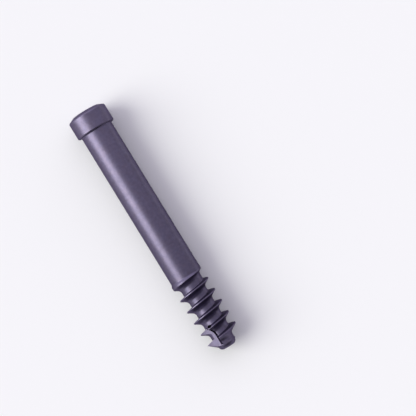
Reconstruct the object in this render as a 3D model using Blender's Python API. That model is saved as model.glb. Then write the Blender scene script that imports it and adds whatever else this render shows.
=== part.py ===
"""Partly threaded bone screw with a hex socket in a cylindrical head, turned from one bar.

The blank is one revolved outline. A helical groove, two cutting flutes and the socket are cut into it.
It is modelled upright, with Z from the head's top face towards the tip, and then laid on its side.
"""
import math

import bmesh
import bpy
from mathutils import Matrix, Vector

MM = 0.001

# Whole screw
SCREW_LENGTH = 60.0 * MM
FACETS = 48

# Head
HEAD_DIAMETER = 9.0 * MM
HEAD_HEIGHT = 4.7 * MM
HEAD_TOP_FLAT_DIAMETER = 6.25 * MM
HEAD_BEVEL_ANGLE = math.radians(25.0)
HEAD_BEVEL_ROUND = 0.45 * MM
HEAD_EDGE_ROUND = 0.3 * MM

# Hex socket for the driver
HEX_ACROSS_FLATS = 3.5 * MM
HEX_DEPTH = 4.0 * MM
SOCKET_MOUTH_DIAMETER = 4.7 * MM
SOCKET_MOUTH_ANGLE = math.radians(45.0)
PILOT_DRILL_DIAMETER = 3.4 * MM
DRILL_POINT_ANGLE = math.radians(118.0)

# Plain shank
SHANK_DIAMETER = 7.5 * MM
SHANK_LENGTH = 37.5 * MM
NECK_FILLET = 0.2 * MM
LAND_CONE_LENGTH = 0.5 * MM

# Buttress thread, right-handed
THREAD_DIAMETER = 8.0 * MM
CORE_DIAMETER = 5.0 * MM
THREAD_PITCH = 2.85 * MM
CREST_WIDTH = 0.2 * MM
HEAD_FLANK_ANGLE = math.radians(12.0)
TIP_FLANK_ANGLE = math.radians(30.0)
HEAD_ROOT_FILLET = 0.25 * MM
TIP_ROOT_FILLET = 0.7 * MM
FIRST_CREST = 2.65 * MM

# Groove run-out at the shank: a quick way in, then a slower one down to the core
RUNOUT_DEPTH_LEFT = 0.4 * MM
RUNOUT_FAST_TURNS = 0.45
RUNOUT_SLOW_TURNS = 1.0

# Tip
TIP_CONE_ANGLE = math.radians(49.5)
NOSE_DIAMETER = 4.16 * MM
NOSE_CORNER = 1.5 * MM
NOSE_LENGTH = 0.85 * MM
END_FLAT_DIAMETER = 2.5 * MM
CORE_TAPER_TURNS = 0.7
THREAD_ENTRY_TURNS = 0.35
THREAD_ENTRY_WIDENING = 0.7 * MM
TIP_CORE_STEP = 0.02 * MM

# Cutting flutes, which end just past a crest, each with a relief groove and a pocket at the foot of its wall
FLUTE_COUNT = 2
FLUTE_LENGTH = 6.1 * MM
FLUTE_PAST_CREST = 0.5 * MM
FLUTE_FLOOR_HEIGHT = 2.06 * MM
FLUTE_FLOOR_TILT = math.radians(13.0)
FLUTE_WALL_OFFSET = 0.7 * MM
FLUTE_HOOK_ANGLE = math.radians(2.0)
FLUTE_FLOOR_CORNER = 0.25 * MM
FLUTE_TOP_CORNER = 2.3 * MM
RELIEF_INSET = 0.4 * MM
RELIEF_WIDTH = 0.52 * MM
RELIEF_UNDERCUT = 0.1 * MM
RELIEF_DEPTH = 1.0 * MM
RELIEF_END = 1.2 * MM
RELIEF_END_DEPTH = 0.4 * MM
POCKET_WIDTH = 0.96 * MM
POCKET_LENGTH = 0.56 * MM
POCKET_OFFSET = 1.38 * MM
POCKET_INSET = 0.3 * MM
POCKET_SHOULDER = 0.15 * MM
POCKET_DEPTH = 1.1 * MM
POCKET_POINT_SHARE = 0.1
POCKET_SIDES = 12

# How far a cutter stands clear of what it cuts, and how finely its small arcs are divided
CUTTER_CLEARANCE = 0.25 * MM
ARC_STEPS = 4

HEAD_RADIUS = HEAD_DIAMETER / 2
SHANK_RADIUS = SHANK_DIAMETER / 2
THREAD_RADIUS = THREAD_DIAMETER / 2
CORE_RADIUS = CORE_DIAMETER / 2
NOSE_RADIUS = NOSE_DIAMETER / 2
TIP_CORE_RADIUS = NOSE_RADIUS + TIP_CORE_STEP
FACET_ANGLE = 2 * math.pi / FACETS

# Stations along the axis, from the head's top face
SHANK_END = HEAD_HEIGHT + SHANK_LENGTH
CREST_START = SHANK_END + FIRST_CREST
NOSE_START = SCREW_LENGTH - NOSE_LENGTH
CONE_START = NOSE_START - (THREAD_RADIUS - NOSE_RADIUS) / math.tan(TIP_CONE_ANGLE)
FLUTE_TURNS = round((SCREW_LENGTH - FLUTE_LENGTH - FLUTE_PAST_CREST - CREST_START) / THREAD_PITCH)
FLUTE_END = CREST_START + FLUTE_TURNS * THREAD_PITCH + FLUTE_PAST_CREST


def clear_scene():
    for obj in list(bpy.data.objects):
        bpy.data.objects.remove(obj, do_unlink=True)


def titanium():
    """Violet-grey anodised titanium with a satin finish."""
    material = bpy.data.materials.new("anodised_titanium")
    material.use_nodes = True
    shader = material.node_tree.nodes["Principled BSDF"]
    shader.inputs["Base Color"].default_value = (0.134, 0.117, 0.178, 1.0)
    shader.inputs["Metallic"].default_value = 1.0
    shader.inputs["Roughness"].default_value = 0.38
    return material


def new_object(name, bm):
    """Makes an object from a finished bmesh, with smooth faces between its true edges."""
    bmesh.ops.recalc_face_normals(bm, faces=bm.faces)
    mesh = bpy.data.meshes.new(name)
    bm.to_mesh(mesh)
    bm.free()
    mesh.shade_smooth()
    mesh.set_sharp_from_angle(angle=math.radians(30.0))
    obj = bpy.data.objects.new(name, mesh)
    bpy.context.collection.objects.link(obj)
    return obj


def corner_arc(before, corner, after, radius, steps=ARC_STEPS):
    """Rounds a corner of an outline: the points of the arc that touches both of its sides."""
    corner = Vector(corner)
    to_before = (Vector(before) - corner).normalized()
    to_after = (Vector(after) - corner).normalized()
    half = to_before.angle(to_after) / 2
    centre = corner + (to_before + to_after).normalized() * radius / math.sin(half)
    start = corner + to_before * radius / math.tan(half) - centre
    turn = math.pi - 2 * half
    side = math.copysign(1.0, to_after.cross(to_before))
    points = []
    for i in range(steps + 1):
        angle = side * turn * i / steps
        points.append(centre + Matrix.Rotation(angle, 2) @ start)
    return points


def rounded_outline(corners):
    """Turns (z, r, rounding) corners into the points of an outline."""
    points = []
    for i, (z, r, rounding) in enumerate(corners):
        if rounding:
            points += corner_arc(corners[i - 1][:2], (z, r), corners[i + 1][:2], rounding)
        else:
            points.append(Vector((z, r)))
    return points


def revolve(outline):
    """Turns an outline of (z, r) points round the Z axis, and closes its flat ends."""
    bm = bmesh.new()
    start = Matrix.Rotation(FACET_ANGLE / 2, 3, "Z")
    verts = [bm.verts.new(start @ Vector((r, 0.0, z))) for z, r in outline]
    edges = [bm.edges.new(pair) for pair in zip(verts, verts[1:])]
    bmesh.ops.spin(bm, geom=verts + edges, cent=(0, 0, 0), axis=(0, 0, 1), angle=2 * math.pi,
                   steps=FACETS, use_merge=True)
    bmesh.ops.remove_doubles(bm, verts=bm.verts, dist=0.001 * MM)
    rims = [edge for edge in bm.edges if edge.is_boundary]
    if rims:
        bmesh.ops.edgeloop_fill(bm, edges=rims)
    return bm


def loft(sections):
    """Joins equal rings of points into one closed body with flat ends."""
    bm = bmesh.new()
    rings = [[bm.verts.new(point) for point in section] for section in sections]
    for ring, following in zip(rings, rings[1:]):
        for i in range(len(ring)):
            bm.faces.new((ring[i - 1], ring[i], following[i], following[i - 1]))
    bm.faces.new(rings[0])
    bm.faces.new(reversed(rings[-1]))
    return bm


def nose_arc():
    """The rounded end of the nose, from the tip cone to the flat end, with any straight part before it."""
    centre_r = NOSE_RADIUS - NOSE_CORNER
    end_angle = math.acos((END_FLAT_DIAMETER / 2 - centre_r) / NOSE_CORNER)
    centre_z = SCREW_LENGTH - NOSE_CORNER * math.sin(end_angle)
    start_angle = 0.0
    points = []
    if NOSE_START < centre_z:
        points.append(Vector((NOSE_START, NOSE_RADIUS)))
    else:
        start_angle = math.asin((NOSE_START - centre_z) / NOSE_CORNER)
    for i in range(ARC_STEPS + 1):
        angle = start_angle + (end_angle - start_angle) * i / ARC_STEPS
        points.append(Vector((centre_z + NOSE_CORNER * math.sin(angle),
                              centre_r + NOSE_CORNER * math.cos(angle))))
    return points


def make_blank():
    """Head, shank, thread land and tip as they come off the lathe."""
    bevel_depth = (HEAD_RADIUS - HEAD_TOP_FLAT_DIAMETER / 2) * math.tan(HEAD_BEVEL_ANGLE)
    outline = rounded_outline([
        (0.0, HEAD_TOP_FLAT_DIAMETER / 2, 0.0),
        (bevel_depth, HEAD_RADIUS, HEAD_BEVEL_ROUND),
        (HEAD_HEIGHT, HEAD_RADIUS, HEAD_EDGE_ROUND),
        (HEAD_HEIGHT, SHANK_RADIUS, NECK_FILLET),
        (SHANK_END, SHANK_RADIUS, 0.0),
        (SHANK_END + LAND_CONE_LENGTH, THREAD_RADIUS, 0.0),
        (CONE_START, THREAD_RADIUS, 0.0),
    ])
    return new_object("bone_screw", revolve(outline + nose_arc()))


def ramp(value, start, end):
    """0 before start, 1 after end and a straight rise between them."""
    return min(max((value - start) / (end - start), 0.0), 1.0)


def groove_root_radius(turn, last_turn):
    """Radius of the groove's floor: it rises out of the shank, and it deepens and ends at the tip."""
    outside = THREAD_RADIUS + CUTTER_CLEARANCE / 2
    shallow = CORE_RADIUS + RUNOUT_DEPTH_LEFT
    deepest = last_turn - THREAD_ENTRY_TURNS
    radius = outside
    radius += (shallow - outside) * ramp(turn, -RUNOUT_FAST_TURNS, 0.0)
    radius += (CORE_RADIUS - shallow) * ramp(turn, 0.0, RUNOUT_SLOW_TURNS)
    radius += (TIP_CORE_RADIUS - CORE_RADIUS) * ramp(turn, deepest - CORE_TAPER_TURNS, deepest)
    radius += (outside - TIP_CORE_RADIUS) * ramp(turn, deepest, last_turn)
    return radius


def groove_widening(turn, last_turn):
    """How much further the groove reaches towards the tip where the thread fades out."""
    deepest = last_turn - THREAD_ENTRY_TURNS
    return THREAD_ENTRY_WIDENING * ramp(turn, deepest - THREAD_ENTRY_TURNS, deepest)


def groove_section(root_radius, widening):
    """Buttress groove between two crests, as (z, r) points measured from the crest on its head side."""
    top = THREAD_RADIUS + CUTTER_CLEARANCE
    depth = THREAD_RADIUS - root_radius
    near = CREST_WIDTH / 2
    far = THREAD_PITCH - CREST_WIDTH / 2 + widening
    tip_slope = math.tan(TIP_FLANK_ANGLE)
    head_slope = math.tan(HEAD_FLANK_ANGLE)
    room = top - root_radius
    corners = [
        (near - CUTTER_CLEARANCE * tip_slope, top, 0.0),
        (near + depth * tip_slope, root_radius, min(TIP_ROOT_FILLET, room)),
        (far - depth * head_slope, root_radius, min(HEAD_ROOT_FILLET, room / 2)),
        (far + CUTTER_CLEARANCE * head_slope, top, 0.0),
    ]
    return rounded_outline(corners)


def make_groove_cutter():
    """The thread's groove, swept along the helix one facet at a time."""
    last_turn = 1 + (CONE_START - CREST_START) / THREAD_PITCH
    first_step = round(-RUNOUT_FAST_TURNS * FACETS)
    last_step = round(last_turn * FACETS)
    sections = []
    for step in range(first_step, last_step + 1):
        angle = (step + 0.5) * FACET_ANGLE
        turn = angle / (2 * math.pi)
        crest = CREST_START - THREAD_PITCH + THREAD_PITCH * turn
        section = groove_section(groove_root_radius(turn, last_turn), groove_widening(turn, last_turn))
        around = Matrix.Rotation(angle, 3, "Z")
        sections.append([around @ Vector((r, 0.0, crest + z)) for z, r in section])
    return new_object("cutter_groove", loft(sections))


def flute_outline(height):
    """Plan of a flute at a height over its floor, with a corner that widens with height.

    The floor itself, at height 0, rises towards the wall.
    """
    share = height / (THREAD_RADIUS + CUTTER_CLEARANCE - FLUTE_FLOOR_HEIGHT)
    corner = FLUTE_FLOOR_CORNER + (FLUTE_TOP_CORNER - FLUTE_FLOOR_CORNER) * share
    wall = -FLUTE_WALL_OFFSET - height * math.tan(FLUTE_HOOK_ANGLE)
    open_side = -THREAD_RADIUS - HEAD_RADIUS
    past_tip = SCREW_LENGTH + CUTTER_CLEARANCE
    plan = [Vector((wall, past_tip))]
    plan += corner_arc((wall, past_tip), (wall, FLUTE_END), (open_side, FLUTE_END), corner, 2 * ARC_STEPS)
    plan += [Vector((open_side, FLUTE_END)), Vector((open_side, past_tip))]
    slope = 0.0 if height else math.tan(FLUTE_FLOOR_TILT)
    return [Vector((x, FLUTE_FLOOR_HEIGHT + height + (x + FLUTE_WALL_OFFSET) * slope, z)) for x, z in plan]


def turned_cutter(name, index, bm):
    """Makes the cutter of one flute, turned to its place round the axis."""
    around = Matrix.Rotation(2 * math.pi * index / FLUTE_COUNT, 4, "Z")
    bmesh.ops.transform(bm, matrix=around, verts=bm.verts)
    return new_object(f"{name}_{index + 1}", bm)


def make_flute_cutter(index):
    """One cutting flute: a sloping floor, and a hooked wall whose edge cuts as the screw is driven in."""
    full_height = THREAD_RADIUS + CUTTER_CLEARANCE - FLUTE_FLOOR_HEIGHT
    return turned_cutter("cutter_flute", index, loft([flute_outline(0.0), flute_outline(full_height)]))


def make_relief_cutter(index):
    """The V-shaped relief groove under the flute's wall, deepest at its head end."""
    right = -FLUTE_WALL_OFFSET + RELIEF_UNDERCUT
    left = right - RELIEF_WIDTH
    top = FLUTE_FLOOR_HEIGHT + RELIEF_UNDERCUT
    rim = FLUTE_FLOOR_HEIGHT - RELIEF_WIDTH * math.tan(FLUTE_FLOOR_TILT)
    sections = []
    for z, depth in ((FLUTE_END + RELIEF_INSET, RELIEF_DEPTH), (SCREW_LENGTH - RELIEF_END, RELIEF_END_DEPTH)):
        corners = ((left, rim), (right, FLUTE_FLOOR_HEIGHT - depth), (right, top), (left, top))
        sections.append([Vector((x, y, z)) for x, y in corners])
    return turned_cutter("cutter_relief", index, loft(sections))


def make_pocket_cutter(index):
    """The oval pocket that the relief groove starts from, with a pointed bottom."""
    sections = []
    for y, share in ((THREAD_RADIUS + CUTTER_CLEARANCE, 1.0),
                     (FLUTE_FLOOR_HEIGHT - POCKET_SHOULDER, 1.0),
                     (FLUTE_FLOOR_HEIGHT - POCKET_DEPTH, POCKET_POINT_SHARE)):
        ring = []
        for side in range(POCKET_SIDES):
            angle = 2 * math.pi * side / POCKET_SIDES
            ring.append(Vector((share * POCKET_WIDTH / 2 * math.cos(angle) - POCKET_OFFSET, y,
                                share * POCKET_LENGTH / 2 * math.sin(angle) + FLUTE_END + POCKET_INSET)))
        sections.append(ring)
    return turned_cutter("cutter_pocket", index, loft(sections))


def make_pilot_cutter():
    """The socket's bevelled mouth and the pilot hole with its drill point."""
    mouth = SOCKET_MOUTH_DIAMETER / 2
    pilot = PILOT_DRILL_DIAMETER / 2
    spread = CUTTER_CLEARANCE * math.tan(SOCKET_MOUTH_ANGLE)
    mouth_depth = (mouth - pilot) / math.tan(SOCKET_MOUTH_ANGLE)
    point_depth = pilot / math.tan(DRILL_POINT_ANGLE / 2)
    outline = [
        (-CUTTER_CLEARANCE, 0.0),
        (-CUTTER_CLEARANCE, mouth + spread),
        (mouth_depth, pilot),
        (HEX_DEPTH, pilot),
        (HEX_DEPTH + point_depth, 0.0),
    ]
    return new_object("cutter_pilot", revolve(outline))


def make_hex_cutter():
    """The hexagonal socket itself, with a corner towards +Y and flats towards +X and -X."""
    across_corners = HEX_ACROSS_FLATS / math.cos(math.pi / 6)
    height = HEX_DEPTH + CUTTER_CLEARANCE
    bm = bmesh.new()
    bmesh.ops.create_cone(bm, cap_ends=True, segments=6, radius1=across_corners / 2,
                          radius2=across_corners / 2, depth=height,
                          matrix=Matrix.Translation((0, 0, HEX_DEPTH - height / 2)))
    return new_object("cutter_hex", bm)


def cut(body, cutter):
    """Takes the cutter's shape out of the body and keeps the cutter as a hidden guide."""
    cutter.hide_render = True
    cutter.display_type = "WIRE"
    cutter.parent = body
    modifier = body.modifiers.new(cutter.name, "BOOLEAN")
    modifier.operation = "DIFFERENCE"
    modifier.object = cutter


def resting_tilt():
    """Slope of the axis when the head's rim and the last full crest underneath both touch the ground."""
    underside_turn = 0.75
    first_crest_below = CREST_START - THREAD_PITCH + THREAD_PITCH * underside_turn
    turns = math.floor((CONE_START - CREST_WIDTH / 2 - first_crest_below) / THREAD_PITCH)
    crest = first_crest_below + turns * THREAD_PITCH + CREST_WIDTH / 2
    rim = HEAD_HEIGHT - HEAD_EDGE_ROUND
    drop = (HEAD_RADIUS - THREAD_RADIUS) * math.cos(FACET_ANGLE / 2)
    return math.atan(drop / (crest - rim))


def lay_down(screw):
    """Lays the screw along X, tip towards +X, with the middle of its footprint on the origin."""
    on_its_side = Matrix(((0, 0, 1), (1, 0, 0), (0, 1, 0))).to_4x4()
    turned = Matrix.Rotation(resting_tilt(), 4, "Y") @ on_its_side
    shape = screw.evaluated_get(bpy.context.evaluated_depsgraph_get()).to_mesh()
    points = [turned @ vert.co for vert in shape.vertices]
    low = Vector(map(min, zip(*points)))
    high = Vector(map(max, zip(*points)))
    middle = (low + high) / 2
    screw.matrix_world = Matrix.Translation((-middle.x, -middle.y, -low.z)) @ turned


def build():
    clear_scene()
    screw = make_blank()
    screw.data.materials.append(titanium())
    for index in range(FLUTE_COUNT):
        cut(screw, make_flute_cutter(index))
        cut(screw, make_relief_cutter(index))
        cut(screw, make_pocket_cutter(index))
    cut(screw, make_pilot_cutter())
    cut(screw, make_hex_cutter())
    cut(screw, make_groove_cutter())
    lay_down(screw)


build()
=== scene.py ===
"""Looks of a partly threaded bone screw with a hex socket, lying on a pale floor.

The screw is cut again here, with finer facets than the CAD part and with rounded edges. Most of its sizes are
the CAD part's, and a few small forms at the thread and the tip follow the photo more closely. It is made
upright, with Z from the head's top face towards the tip, and then laid where the CAD part lies.
"""
import math

import bmesh
import bpy
from mathutils import Matrix, Vector


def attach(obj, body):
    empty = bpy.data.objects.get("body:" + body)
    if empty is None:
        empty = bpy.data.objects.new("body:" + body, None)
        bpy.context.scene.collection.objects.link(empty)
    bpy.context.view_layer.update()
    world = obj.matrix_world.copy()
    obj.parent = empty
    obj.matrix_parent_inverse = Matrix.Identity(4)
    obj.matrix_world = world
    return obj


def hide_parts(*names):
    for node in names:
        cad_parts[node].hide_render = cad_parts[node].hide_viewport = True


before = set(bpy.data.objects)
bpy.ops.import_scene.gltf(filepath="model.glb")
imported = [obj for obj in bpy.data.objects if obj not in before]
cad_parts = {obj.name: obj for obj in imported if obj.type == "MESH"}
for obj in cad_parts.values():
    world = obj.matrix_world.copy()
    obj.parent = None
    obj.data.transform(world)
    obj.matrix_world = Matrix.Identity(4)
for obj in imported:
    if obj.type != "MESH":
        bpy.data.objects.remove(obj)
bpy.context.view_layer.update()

MM = 0.001

# Whole screw
SCREW_LENGTH = 60.0 * MM

# Head
HEAD_DIAMETER = 9.0 * MM
HEAD_HEIGHT = 4.7 * MM
HEAD_TOP_FLAT_DIAMETER = 6.25 * MM
HEAD_BEVEL_ANGLE = math.radians(25.0)
HEAD_BEVEL_ROUND = 0.45 * MM
HEAD_EDGE_ROUND = 0.3 * MM

# Hex socket for the driver
HEX_ACROSS_FLATS = 3.5 * MM
HEX_DEPTH = 4.0 * MM
SOCKET_MOUTH_DIAMETER = 4.7 * MM
SOCKET_MOUTH_ANGLE = math.radians(45.0)
PILOT_DRILL_DIAMETER = 3.4 * MM
DRILL_POINT_ANGLE = math.radians(118.0)

# Plain shank, and the land where it rises to the thread's diameter
SHANK_DIAMETER = 7.5 * MM
SHANK_LENGTH = 37.5 * MM
NECK_FILLET = 0.2 * MM
LAND_CONE_LENGTH = 0.5 * MM

# Buttress thread, right-handed; the CAD part's fillets are 0.7 mm on the tip side and 0.25 mm on the other
THREAD_DIAMETER = 8.0 * MM
CORE_DIAMETER = 5.0 * MM
THREAD_PITCH = 2.85 * MM
CREST_WIDTH = 0.2 * MM
HEAD_FLANK_ANGLE = math.radians(12.0)
TIP_FLANK_ANGLE = math.radians(30.0)
TIP_ROOT_FILLET = 1.1 * MM
HEAD_ROOT_FILLET = 0.12 * MM
FIRST_CREST = 2.65 * MM

# Groove run-out at the shank: a quick way in, then a slower one down to the core
RUNOUT_DEPTH_LEFT = 0.4 * MM
RUNOUT_FAST_TURNS = 0.45
RUNOUT_SLOW_TURNS = 1.0

# Tip; the CAD part's nose has a corner of 1.5 mm and an end flat of 2.5 mm
TIP_CONE_ANGLE = math.radians(49.5)
NOSE_DIAMETER = 4.16 * MM
NOSE_CORNER = 1.0 * MM
NOSE_LENGTH = 0.85 * MM
END_FLAT_DIAMETER = 2.6 * MM
CORE_TAPER_TURNS = 0.7
THREAD_ENTRY_TURNS = 0.35
THREAD_ENTRY_WIDENING = 0.7 * MM
TIP_CORE_STEP = 0.02 * MM

# Cutting flutes: unlike the CAD part's, their floors are hollow and their corners keep one radius
FLUTE_COUNT = 2
FLUTE_END = 53.9 * MM
FLUTE_FLOOR_HEIGHT = 2.26 * MM
FLUTE_FLOOR_TILT = math.radians(26.0)
FLUTE_FLOOR_TILT_OUTSIDE = math.radians(12.0)
FLUTE_WALL_OFFSET = 0.7 * MM
FLUTE_HOOK_ANGLE = math.radians(2.0)
FLUTE_CORNER = 2.5 * MM

# Relief groove at the foot of each flute's wall, and the pocket that it starts from
RELIEF_INSET = 0.41 * MM
RELIEF_WIDTH = 0.52 * MM
RELIEF_UNDERCUT = 0.08 * MM
RELIEF_DEPTH = 1.0 * MM
RELIEF_END = 1.2 * MM
RELIEF_END_DEPTH = 0.4 * MM
POCKET_WIDTH = 1.04 * MM
POCKET_LENGTH = 0.62 * MM
POCKET_OFFSET = 1.32 * MM
POCKET_INSET = 0.1 * MM
POCKET_SHOULDER = 0.15 * MM
POCKET_DEPTH = 1.1 * MM
POCKET_POINT_SHARE = 0.1
POCKET_SIDES = 32

# Rounded edges that the CAD part doesn't have
TOP_EDGE_ROUND = 0.12 * MM
LAND_EDGE_ROUND = 0.25 * MM

# Where the CAD part lies: the middle of its head's top face, and the slope of its axis
HEAD_TOP_CENTRE = Vector((-29.9897, 0.0, 4.5333)) * MM
AXIS_SLOPE = math.radians(0.5579)

# How finely round forms are divided, how far a cutter stands clear, and which points count as one
FACETS = 144
CAD_FACETS = 48
ARC_STEPS = 10
SHARP_ANGLE = math.radians(30.0)
CUTTER_CLEARANCE = 0.25 * MM
SEAM_GAP = 0.0001 * MM
SMALLEST_EDGE = 0.0005 * MM

HEAD_RADIUS = HEAD_DIAMETER / 2
SHANK_RADIUS = SHANK_DIAMETER / 2
THREAD_RADIUS = THREAD_DIAMETER / 2
CORE_RADIUS = CORE_DIAMETER / 2
NOSE_RADIUS = NOSE_DIAMETER / 2
TIP_CORE_RADIUS = NOSE_RADIUS + TIP_CORE_STEP
FACET_ANGLE = 2 * math.pi / FACETS

# Stations along the axis, from the head's top face
SHANK_END = HEAD_HEIGHT + SHANK_LENGTH
CREST_START = SHANK_END + FIRST_CREST
NOSE_START = SCREW_LENGTH - NOSE_LENGTH
CONE_START = NOSE_START - (THREAD_RADIUS - NOSE_RADIUS) / math.tan(TIP_CONE_ANGLE)

# Titanium: two tones that mix in patches, painted light that fades from the head towards the thread, a tint
# at grazing angles and a satin finish
WARM_TITANIUM = (0.136, 0.116, 0.172, 1.0)
COOL_TITANIUM = (0.132, 0.118, 0.184, 1.0)
EDGE_TINT = (0.45, 0.42, 0.5, 1.0)
# Painted light and shade: the colour is lighter at the head and darker at the thread, as light falls off
# along the screw
PAINTED_LIGHT_AT_HEAD = 1.06
PAINTED_SHADE_AT_THREAD = 0.94
ROUGHNESS = 0.41
ROUGHNESS_CHANGE = 0.02
MOTTLE_DETAIL = 4.0

# Fine turning marks, the broader rings between them and the grain
MARKS_PER_MM = 5.0
MARK_BREAKS_PER_MM = 0.35
MARK_DETAIL = 3.0
MARK_CONTRAST = 0.035
RINGS_PER_MM = 1.3
RING_BREAKS_PER_MM = 0.12
RING_DETAIL = 2.0
RING_CONTRAST = 0.04
GRAINS_PER_MM = 1.6
GRAIN_DETAIL = 2.0
GRAIN_CONTRAST = 0.08
BUMP_STRENGTH = 0.25
BUMP_DEPTH = 0.004 * MM
MARKS_IN_BUMP = 0.6
RINGS_IN_BUMP = 0.4

# Wear on the thread's crests, with a painted highlight along them: it starts and ends so many millimetres
# from the axis, broken up by the marks
WEAR_AND_HIGHLIGHT_START = 3.88
WEAR_AND_HIGHLIGHT_END = 4.05
WEAR_AND_HIGHLIGHT_BREAKS = 0.15
WEAR_AND_HIGHLIGHT_LIGHTER = 1.3

# Most of a noise lies between these values
NOISE_LOW = 0.3
NOISE_HIGH = 0.7

# Floor
FLOOR_SIZE = 6.0
FLOOR_COLOUR = (0.86, 0.86, 0.86, 1.0)
FLOOR_ROUGHNESS = 0.9

# Key: a wide sun from the left of the photo, turned a little towards the head
KEY_FROM_ZENITH = math.radians(52.5)
KEY_TOWARDS_HEAD = math.radians(17.0)
KEY_WIDTH = math.radians(48.0)
KEY_STRENGTH = 2.32
KEY_COLOUR = (0.976, 1.0, 0.9)

# Sky: lighter beyond the head, dark high up beyond the tip and dim low down on the right
SKY_COLOUR = (1.0, 0.963, 1.117, 1.0)
SKY_STRENGTH = 0.59
SKY_HEAD_LEVEL = 2.2
SKY_TIP_HIGH_LEVEL = 0.12
SKY_TIP_LOW_LEVEL = 0.7
SKY_RIGHT_LOW_LEVEL = 0.25

# Where those levels start and end, as parts of a direction of length 1
SKY_SIDE = 0.7
SKY_TIP_START = 0.05
SKY_TIP_END = 0.5
SKY_LOW = 0.28
SKY_HIGH = 0.5

# Camera: nearly straight above its target, turned as far as the screw is in the photo
VIEW_TARGET = Vector((1.96, 11.87, 4.3)) * MM
VIEW_DISTANCE = 370.0 * MM
VIEW_LEAN = 8.7 * MM
VIEW_WIDTH = 90.7 * MM
VIEW_TURN = math.radians(58.4456)
VIEW_NEAREST = 10.0 * MM


def new_object(name, bm):
    """Makes an object from a finished bmesh."""
    bmesh.ops.recalc_face_normals(bm, faces=bm.faces)
    mesh = bpy.data.meshes.new(name)
    bm.to_mesh(mesh)
    bm.free()
    obj = bpy.data.objects.new(name, mesh)
    bpy.context.collection.objects.link(obj)
    return obj


def corner_arc(before, corner, after, radius, steps=ARC_STEPS):
    """Rounds a corner of an outline: the points of the arc that touches both of its sides."""
    corner = Vector(corner)
    to_before = (Vector(before) - corner).normalized()
    to_after = (Vector(after) - corner).normalized()
    half = to_before.angle(to_after) / 2
    centre = corner + (to_before + to_after).normalized() * radius / math.sin(half)
    start = corner + to_before * radius / math.tan(half) - centre
    turn = math.pi - 2 * half
    side = math.copysign(1.0, to_after.cross(to_before))
    return [centre + Matrix.Rotation(side * turn * i / steps, 2) @ start for i in range(steps + 1)]


def rounded_outline(corners):
    """Turns (z, r, rounding) corners into the points of an outline."""
    points = []
    for i, (z, r, rounding) in enumerate(corners):
        if rounding:
            points += corner_arc(corners[i - 1][:2], (z, r), corners[i + 1][:2], rounding)
        else:
            points.append(Vector((z, r)))
    return points


def revolve(outline):
    """Turns an outline of (z, r) points round the Z axis, and closes its flat ends."""
    bm = bmesh.new()
    start = Matrix.Rotation(FACET_ANGLE / 2, 3, "Z")
    verts = [bm.verts.new(start @ Vector((r, 0.0, z))) for z, r in outline]
    edges = [bm.edges.new(pair) for pair in zip(verts, verts[1:])]
    bmesh.ops.spin(bm, geom=verts + edges, cent=(0, 0, 0), axis=(0, 0, 1), angle=2 * math.pi,
                   steps=FACETS, use_merge=True)
    bmesh.ops.remove_doubles(bm, verts=bm.verts, dist=SEAM_GAP)
    rims = [edge for edge in bm.edges if edge.is_boundary]
    if rims:
        bmesh.ops.edgeloop_fill(bm, edges=rims)
    return bm


def loft(sections):
    """Joins equal rings of points into one closed body with flat ends."""
    bm = bmesh.new()
    rings = [[bm.verts.new(point) for point in section] for section in sections]
    for ring, following in zip(rings, rings[1:]):
        for i in range(len(ring)):
            bm.faces.new((ring[i - 1], ring[i], following[i], following[i - 1]))
    bm.faces.new(rings[0])
    bm.faces.new(reversed(rings[-1]))
    return bm


def nose_arc():
    """The rounded end of the nose, from the tip cone to the flat end."""
    centre_r = NOSE_RADIUS - NOSE_CORNER
    end_angle = math.acos((END_FLAT_DIAMETER / 2 - centre_r) / NOSE_CORNER)
    centre_z = SCREW_LENGTH - NOSE_CORNER * math.sin(end_angle)
    start_angle = math.asin((NOSE_START - centre_z) / NOSE_CORNER)
    points = []
    for i in range(ARC_STEPS + 1):
        angle = start_angle + (end_angle - start_angle) * i / ARC_STEPS
        points.append(Vector((centre_z + NOSE_CORNER * math.sin(angle),
                              centre_r + NOSE_CORNER * math.cos(angle))))
    return points


def make_blank():
    """Head, shank, thread land and tip as they come off the lathe."""
    bevel_depth = (HEAD_RADIUS - HEAD_TOP_FLAT_DIAMETER / 2) * math.tan(HEAD_BEVEL_ANGLE)
    outline = [Vector((0.0, 0.0))] + rounded_outline([
        (0.0, SOCKET_MOUTH_DIAMETER / 2, 0.0),
        (0.0, HEAD_TOP_FLAT_DIAMETER / 2, TOP_EDGE_ROUND),
        (bevel_depth, HEAD_RADIUS, HEAD_BEVEL_ROUND),
        (HEAD_HEIGHT, HEAD_RADIUS, HEAD_EDGE_ROUND),
        (HEAD_HEIGHT, SHANK_RADIUS, NECK_FILLET),
        (SHANK_END, SHANK_RADIUS, LAND_EDGE_ROUND),
        (SHANK_END + LAND_CONE_LENGTH, THREAD_RADIUS, LAND_EDGE_ROUND),
        (CONE_START, THREAD_RADIUS, 0.0),
    ])
    return new_object("screw", revolve(outline + nose_arc()))


def ramp(value, start, end):
    """0 before start, 1 after end and a straight rise between them."""
    return min(max((value - start) / (end - start), 0.0), 1.0)


def groove_root_radius(turn, last_turn):
    """Radius of the groove's floor: it sinks into the shank, follows the tip's taper and comes out again."""
    outside = THREAD_RADIUS + CUTTER_CLEARANCE / 2
    shallow = CORE_RADIUS + RUNOUT_DEPTH_LEFT
    deepest = last_turn - THREAD_ENTRY_TURNS
    radius = outside
    radius += (shallow - outside) * ramp(turn, -RUNOUT_FAST_TURNS, 0.0)
    radius += (CORE_RADIUS - shallow) * ramp(turn, 0.0, RUNOUT_SLOW_TURNS)
    radius += (TIP_CORE_RADIUS - CORE_RADIUS) * ramp(turn, deepest - CORE_TAPER_TURNS, deepest)
    radius += (outside - TIP_CORE_RADIUS) * ramp(turn, deepest, last_turn)
    return radius


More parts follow.
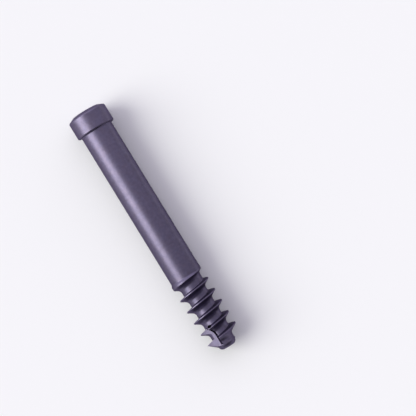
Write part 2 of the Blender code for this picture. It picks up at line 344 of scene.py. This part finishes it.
def groove_section(root_radius, widening):
    """Buttress groove between two crests, as (z, r) points measured from the crest on its head side."""
    top = THREAD_RADIUS + CUTTER_CLEARANCE
    depth = THREAD_RADIUS - root_radius
    near = CREST_WIDTH / 2
    far = THREAD_PITCH - CREST_WIDTH / 2 + widening
    tip_slope = math.tan(TIP_FLANK_ANGLE)
    head_slope = math.tan(HEAD_FLANK_ANGLE)
    room = top - root_radius
    corners = [
        (near - CUTTER_CLEARANCE * tip_slope, top, 0.0),
        (near + depth * tip_slope, root_radius, min(TIP_ROOT_FILLET, room)),
        (far - depth * head_slope, root_radius, min(HEAD_ROOT_FILLET, room / 2)),
        (far + CUTTER_CLEARANCE * head_slope, top, 0.0),
    ]
    return rounded_outline(corners)


def make_groove_cutter():
    """The thread's groove, swept along the helix one facet at a time."""
    last_turn = 1 + (CONE_START - CREST_START) / THREAD_PITCH
    deepest = last_turn - THREAD_ENTRY_TURNS
    first_step = round(-RUNOUT_FAST_TURNS * FACETS)
    last_step = round(last_turn * FACETS)
    sections = []
    for step in range(first_step, last_step + 1):
        angle = (step + 0.5) * FACET_ANGLE
        turn = angle / (2 * math.pi)
        crest = CREST_START - THREAD_PITCH + THREAD_PITCH * turn
        widening = THREAD_ENTRY_WIDENING * ramp(turn, deepest - THREAD_ENTRY_TURNS, deepest)
        section = groove_section(groove_root_radius(turn, last_turn), widening)
        around = Matrix.Rotation(angle, 3, "Z")
        sections.append([around @ Vector((r, 0.0, crest + z)) for z, r in section])
    return new_object("cutter_groove", loft(sections))


def flute_outline(height):
    """Plan of a flute at a height over its floor, as points."""
    wall = -FLUTE_WALL_OFFSET - height * math.tan(FLUTE_HOOK_ANGLE)
    open_side = -THREAD_RADIUS - HEAD_RADIUS
    past_tip = SCREW_LENGTH + CUTTER_CLEARANCE
    corner = (wall, FLUTE_END)
    plan = [Vector((wall, past_tip))]
    plan += corner_arc((wall, past_tip), corner, (open_side, FLUTE_END), FLUTE_CORNER, 2 * ARC_STEPS)
    plan += [Vector((open_side, FLUTE_END)), Vector((open_side, past_tip))]
    return [Vector((x, FLUTE_FLOOR_HEIGHT + height, z)) for x, z in plan]


def bend_floor(bm):
    """Bends the flute's floor down away from its wall, steeply at first and then less."""
    reach = THREAD_RADIUS - FLUTE_WALL_OFFSET
    start = math.tan(FLUTE_FLOOR_TILT)
    easing = (start - math.tan(FLUTE_FLOOR_TILT_OUTSIDE)) / 2 / reach
    for i in range(1, ARC_STEPS + 1):
        bmesh.ops.bisect_plane(bm, geom=bm.verts[:] + bm.edges[:] + bm.faces[:], plane_no=(1, 0, 0),
                               plane_co=(-FLUTE_WALL_OFFSET - reach * i / ARC_STEPS, 0, 0))
    for vert in bm.verts:
        if vert.co.y < THREAD_RADIUS:
            out = max(-FLUTE_WALL_OFFSET - vert.co.x, 0.0)
            bent = min(out, reach)
            vert.co.y -= bent * (start - easing * bent) + (out - bent) * (start - 2 * easing * reach)


def turned_cutter(name, index, bm):
    """Turns a cutter to its place round the axis and numbers it."""
    around = Matrix.Rotation(2 * math.pi * index / FLUTE_COUNT, 4, "Z")
    bmesh.ops.transform(bm, matrix=around, verts=bm.verts)
    return new_object(f"{name}_{index + 1}", bm)


def make_flute_cutter(index):
    """One cutting flute: a hollow floor, and a wall whose edge cuts as the screw is driven in."""
    full_height = THREAD_RADIUS + CUTTER_CLEARANCE - FLUTE_FLOOR_HEIGHT
    bm = loft([flute_outline(0.0), flute_outline(full_height)])
    bend_floor(bm)
    return turned_cutter("cutter_flute", index, bm)


def make_relief_cutter(index):
    """The V-shaped relief groove: round the flute's corner at full depth, then shallower towards the tip."""
    start = math.acos(1 - RELIEF_INSET / FLUTE_CORNER)
    path = []
    for step in range(ARC_STEPS + 1):
        angle = start + (math.pi / 2 - start) * step / ARC_STEPS
        out = FLUTE_CORNER * (1 - math.sin(angle))
        path.append((out, FLUTE_END + FLUTE_CORNER * (1 - math.cos(angle)), RELIEF_DEPTH))
    path.append((0.0, SCREW_LENGTH - RELIEF_END, RELIEF_END_DEPTH))
    sections = []
    for out, z, depth in path:
        right = -FLUTE_WALL_OFFSET - out + RELIEF_UNDERCUT
        left = right - RELIEF_WIDTH
        floor = FLUTE_FLOOR_HEIGHT - out * math.tan(FLUTE_FLOOR_TILT)
        top = floor + RELIEF_UNDERCUT
        rim = floor - RELIEF_WIDTH * math.tan(FLUTE_FLOOR_TILT)
        corners = ((left, rim), (right, floor - depth), (right, top), (left, top))
        sections.append([Vector((x, y, z)) for x, y in corners])
    return turned_cutter("cutter_relief", index, loft(sections))


def make_pocket_cutter(index):
    """The oval pocket that the relief groove starts from, with a nearly pointed bottom."""
    sections = []
    for y, share in ((THREAD_RADIUS + CUTTER_CLEARANCE, 1.0),
                     (FLUTE_FLOOR_HEIGHT - POCKET_SHOULDER, 1.0),
                     (FLUTE_FLOOR_HEIGHT - POCKET_DEPTH, POCKET_POINT_SHARE)):
        ring = []
        for side in range(POCKET_SIDES):
            angle = 2 * math.pi * side / POCKET_SIDES
            ring.append(Vector((share * POCKET_WIDTH / 2 * math.cos(angle) - POCKET_OFFSET, y,
                                share * POCKET_LENGTH / 2 * math.sin(angle) + FLUTE_END + POCKET_INSET)))
        sections.append(ring)
    return turned_cutter("cutter_pocket", index, loft(sections))


def make_pilot_cutter():
    """The socket's bevelled mouth and the pilot hole with its drill point."""
    mouth = SOCKET_MOUTH_DIAMETER / 2
    pilot = PILOT_DRILL_DIAMETER / 2
    spread = CUTTER_CLEARANCE * math.tan(SOCKET_MOUTH_ANGLE)
    mouth_depth = (mouth - pilot) / math.tan(SOCKET_MOUTH_ANGLE)
    point_depth = pilot / math.tan(DRILL_POINT_ANGLE / 2)
    outline = [
        (-CUTTER_CLEARANCE, 0.0),
        (-CUTTER_CLEARANCE, mouth + spread),
        (mouth_depth, pilot),
        (HEX_DEPTH, pilot),
        (HEX_DEPTH + point_depth, 0.0),
    ]
    return new_object("cutter_pilot", revolve(outline))


def make_hex_cutter():
    """The hexagonal socket itself."""
    across_corners = HEX_ACROSS_FLATS / math.cos(math.pi / 6)
    height = HEX_DEPTH + CUTTER_CLEARANCE
    bm = bmesh.new()
    bmesh.ops.create_cone(bm, cap_ends=True, segments=6, radius1=across_corners / 2,
                          radius2=across_corners / 2, depth=height,
                          matrix=Matrix.Translation((0, 0, HEX_DEPTH - height / 2)))
    return new_object("cutter_hex", bm)


def cut(body, cutter):
    """Takes the cutter's shape out of the body for good."""
    modifier = body.modifiers.new(cutter.name, "BOOLEAN")
    modifier.operation = "DIFFERENCE"
    modifier.object = cutter
    bm = bmesh.new()
    bm.from_object(body, bpy.context.evaluated_depsgraph_get())
    bmesh.ops.remove_doubles(bm, verts=bm.verts, dist=SMALLEST_EDGE)
    bmesh.ops.dissolve_degenerate(bm, dist=SMALLEST_EDGE, edges=bm.edges)
    body.modifiers.clear()
    bm.to_mesh(body.data)
    bm.free()
    bpy.data.objects.remove(cutter, do_unlink=True)


def make_screw():
    """Cuts the screw and smooths its faces between their true edges.

    Finer facets would stand out past the CAD part's flats, so the screw is narrowed to fit inside them.
    """
    screw = make_blank()
    for index in range(FLUTE_COUNT):
        cut(screw, make_flute_cutter(index))
        cut(screw, make_pocket_cutter(index))
        cut(screw, make_relief_cutter(index))
    cut(screw, make_pilot_cutter())
    cut(screw, make_hex_cutter())
    cut(screw, make_groove_cutter())
    inside_cad = math.cos(math.pi / CAD_FACETS)
    screw.data.transform(Matrix.Diagonal((inside_cad, inside_cad, 1.0, 1.0)))
    screw.data.shade_smooth()
    screw.data.set_sharp_from_angle(angle=SHARP_ANGLE)
    normals = screw.modifiers.new("even_normals", "WEIGHTED_NORMAL")
    normals.keep_sharp = True
    return screw


def lay_down(screw):
    """Lays the screw along X, tip towards +X, where the CAD part lies."""
    on_its_side = Matrix(((0, 0, 1), (1, 0, 0), (0, 1, 0))).to_4x4()
    turned = Matrix.Rotation(AXIS_SLOPE, 4, "Y") @ on_its_side
    screw.data.transform(Matrix.Translation(HEAD_TOP_CENTRE) @ turned)


class Nodes:
    """Adds nodes to a material or a world: inputs may be values or the outputs of other nodes."""

    def __init__(self, owner):
        self.tree = owner.node_tree

    def add(self, kind, inputs, **settings):
        node = self.tree.nodes.new("ShaderNode" + kind)
        for name, value in settings.items():
            setattr(node, name, value)
        for name, value in inputs.items():
            self.join(value, node.inputs[name])
        return node

    def join(self, value, socket):
        if isinstance(value, bpy.types.NodeSocket):
            self.tree.links.new(value, socket)
        else:
            socket.default_value = value

    def math(self, operation, *values):
        return self.add("Math", dict(enumerate(values)), operation=operation).outputs[0]

    def vector(self, x, y, z):
        return self.add("CombineXYZ", {"X": x, "Y": y, "Z": z}).outputs[0]

    def spread(self, value, start, end, low, high):
        """Maps start..end to low..high and holds the ends."""
        names = ("Value", "From Min", "From Max", "To Min", "To Max")
        return self.add("MapRange", dict(zip(names, (value, start, end, low, high)))).outputs[0]

    def noise(self, vector, detail):
        """Noise with features about one unit apart."""
        return self.add("TexNoise", {"Vector": vector, "Scale": 1.0, "Detail": detail}).outputs["Fac"]

    def vary(self, noise, low, high):
        """Spreads a noise between low and high."""
        return self.spread(noise, NOISE_LOW, NOISE_HIGH, low, high)


def places_on_screw(nodes):
    """Distances along the axis, sideways, upwards and from the axis, in millimetres."""
    place = nodes.add("TexCoord", {}).outputs["Object"]
    along_axis = nodes.add("Mapping", {"Vector": place, "Location": HEAD_TOP_CENTRE,
                                       "Rotation": (0.0, AXIS_SLOPE, 0.0)}, vector_type="TEXTURE")
    parts = nodes.add("SeparateXYZ", {"Vector": along_axis.outputs[0]}).outputs
    axial, side, up = (nodes.math("DIVIDE", parts[name], MM) for name in "XYZ")
    squares = nodes.math("ADD", nodes.math("MULTIPLY", side, side), nodes.math("MULTIPLY", up, up))
    return axial, side, up, nodes.math("SQRT", squares)


def turned_marks(nodes, axial, radius, side, per_mm, breaks_per_mm, detail):
    """Noise drawn out into rings round the axis, as a lathe leaves them."""
    place = nodes.vector(nodes.math("MULTIPLY", axial, per_mm), nodes.math("MULTIPLY", radius, per_mm),
                         nodes.math("MULTIPLY", side, breaks_per_mm))
    return nodes.noise(place, detail)


def crest_wear_and_highlight(nodes, axial, radius, marks):
    """How much lighter the thread's crests are, from wear and from a painted highlight: 1 on the rest of the
    screw.
    """
    uneven = nodes.math("ADD", radius, nodes.math("MULTIPLY", marks, WEAR_AND_HIGHLIGHT_BREAKS))
    lighter_crest = nodes.spread(uneven, WEAR_AND_HIGHLIGHT_START, WEAR_AND_HIGHLIGHT_END, 1.0, WEAR_AND_HIGHLIGHT_LIGHTER)
    on_thread = nodes.spread(axial, SHANK_END / MM, CREST_START / MM, 0.0, 1.0)
    return nodes.math("POWER", lighter_crest, on_thread)


def titanium():
    """Anodised titanium with turning marks round the axis, mottled colour, painted light that fades towards
    the thread, and crests lighter from wear and a painted highlight.
    """
    material = bpy.data.materials.new("anodised_titanium")
    material.use_nodes = True
    shader = material.node_tree.nodes["Principled BSDF"]
    nodes = Nodes(material)
    axial, side, up, radius = places_on_screw(nodes)
    marks = turned_marks(nodes, axial, radius, side, MARKS_PER_MM, MARK_BREAKS_PER_MM, MARK_DETAIL)
    rings = turned_marks(nodes, axial, radius, side, RINGS_PER_MM, RING_BREAKS_PER_MM, RING_DETAIL)
    mottle = nodes.noise(nodes.vector(axial, side, up), MOTTLE_DETAIL)
    grain_place = [nodes.math("MULTIPLY", value, GRAINS_PER_MM) for value in (axial, side, up)]
    grain = nodes.noise(nodes.vector(*grain_place), GRAIN_DETAIL)

    # Painted light and shade: lighter at the head and darker towards the thread, as the light falls off along
    # the screw
    level = nodes.spread(axial, HEAD_HEIGHT / MM, SHANK_END / MM, PAINTED_LIGHT_AT_HEAD, PAINTED_SHADE_AT_THREAD)
    for noise, contrast in ((rings, RING_CONTRAST), (marks, MARK_CONTRAST), (grain, GRAIN_CONTRAST)):
        level = nodes.math("MULTIPLY", level, nodes.vary(noise, 1.0 - contrast, 1.0 + contrast))
    # Crests lighter from wear and from a painted highlight
    level = nodes.math("MULTIPLY", level, crest_wear_and_highlight(nodes, axial, radius, marks))

    # A Mix node's colours are its inputs 6 and 7 and its output 2
    mix = {"Factor": nodes.vary(mottle, 0.0, 1.0), 6: WARM_TITANIUM, 7: COOL_TITANIUM}
    tone = nodes.add("Mix", mix, data_type="RGBA").outputs[2]
    tone = nodes.add("VectorMath", {0: tone, "Scale": level}, operation="SCALE").outputs[0]
    nodes.join(tone, shader.inputs["Base Color"])

    dull = nodes.vary(marks, -ROUGHNESS_CHANGE, ROUGHNESS_CHANGE)
    dull = nodes.math("ADD", dull, nodes.vary(mottle, -ROUGHNESS_CHANGE, ROUGHNESS_CHANGE))
    nodes.join(nodes.math("ADD", dull, ROUGHNESS), shader.inputs["Roughness"])

    height = nodes.math("ADD", nodes.math("MULTIPLY", marks, MARKS_IN_BUMP),
                        nodes.math("MULTIPLY", rings, RINGS_IN_BUMP))
    bump = nodes.add("Bump", {"Height": height, "Strength": BUMP_STRENGTH, "Distance": BUMP_DEPTH})
    nodes.join(bump.outputs[0], shader.inputs["Normal"])

    shader.inputs["Metallic"].default_value = 1.0
    shader.inputs["Specular Tint"].default_value = EDGE_TINT
    return material


def make_floor():
    """A plain pale floor, which is part of the stage and not of the screw."""
    bm = bmesh.new()
    bmesh.ops.create_grid(bm, x_segments=1, y_segments=1, size=FLOOR_SIZE / 2)
    floor = new_object("floor", bm)
    material = bpy.data.materials.new("pale_floor")
    material.use_nodes = True
    shader = material.node_tree.nodes["Principled BSDF"]
    shader.inputs["Base Color"].default_value = FLOOR_COLOUR
    shader.inputs["Roughness"].default_value = FLOOR_ROUGHNESS
    shader.inputs["Specular IOR Level"].default_value = 0.0
    floor.data.materials.append(material)


def make_key():
    """The sun that draws the light streak on the screw's left."""
    key = bpy.data.lights.new("key", "SUN")
    key.energy = KEY_STRENGTH
    key.angle = KEY_WIDTH
    key.color = KEY_COLOUR
    lamp = bpy.data.objects.new("key", key)
    lamp.rotation_euler = (KEY_FROM_ZENITH, 0.0, -KEY_TOWARDS_HEAD)
    bpy.context.collection.objects.link(lamp)


def make_sky():
    """A soft sky, stronger or weaker by direction: the head is at -X, and the photo's right at +Y."""
    world = bpy.data.worlds.new("studio")
    world.use_nodes = True
    sky = world.node_tree.nodes["Background"]
    sky.inputs["Color"].default_value = SKY_COLOUR
    nodes = Nodes(world)
    towards = nodes.add("TexCoord", {}).outputs["Generated"]
    x, y, z = nodes.add("SeparateXYZ", {"Vector": towards}).outputs
    over_head = nodes.spread(x, -SKY_SIDE, 0.0, SKY_STRENGTH * SKY_HEAD_LEVEL, SKY_STRENGTH)
    at_tip = nodes.spread(z, SKY_LOW, SKY_HIGH, SKY_TIP_LOW_LEVEL, SKY_TIP_HIGH_LEVEL)
    over_tip = nodes.spread(x, SKY_TIP_START, SKY_TIP_END, 1.0, at_tip)
    at_right = nodes.spread(z, 0.0, SKY_LOW, SKY_RIGHT_LOW_LEVEL, 1.0)
    over_right = nodes.spread(y, 0.0, SKY_SIDE, 1.0, at_right)
    level = nodes.math("MULTIPLY", nodes.math("MULTIPLY", over_head, over_tip), over_right)
    nodes.join(level, sky.inputs["Strength"])
    bpy.context.scene.world = world


def make_camera():
    """A camera over the screw, whose picture's right points VIEW_TURN away from the screw's axis."""
    data = bpy.data.cameras.new("camera")
    data.sensor_fit = "HORIZONTAL"
    data.angle = 2 * math.atan(VIEW_WIDTH / 2 / VIEW_DISTANCE)
    data.clip_start = VIEW_NEAREST
    camera = bpy.data.objects.new("camera", data)
    place = VIEW_TARGET + Vector((VIEW_LEAN, 0.0, VIEW_DISTANCE))
    back = (place - VIEW_TARGET).normalized()
    right = Vector((math.cos(VIEW_TURN), math.sin(VIEW_TURN), 0.0))
    right = (right - back * right.dot(back)).normalized()
    up = back.cross(right)
    camera.matrix_world = Matrix.Translation(place) @ Matrix((right, up, back)).transposed().to_4x4()
    bpy.context.collection.objects.link(camera)
    bpy.context.scene.camera = camera


make_floor()
make_key()
make_sky()
make_camera()
bpy.context.scene.view_settings.view_transform = "Standard"

screw = make_screw()
lay_down(screw)
screw.data.materials.clear()
screw.data.materials.append(titanium())
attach(screw, "root")
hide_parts("bone_screw")
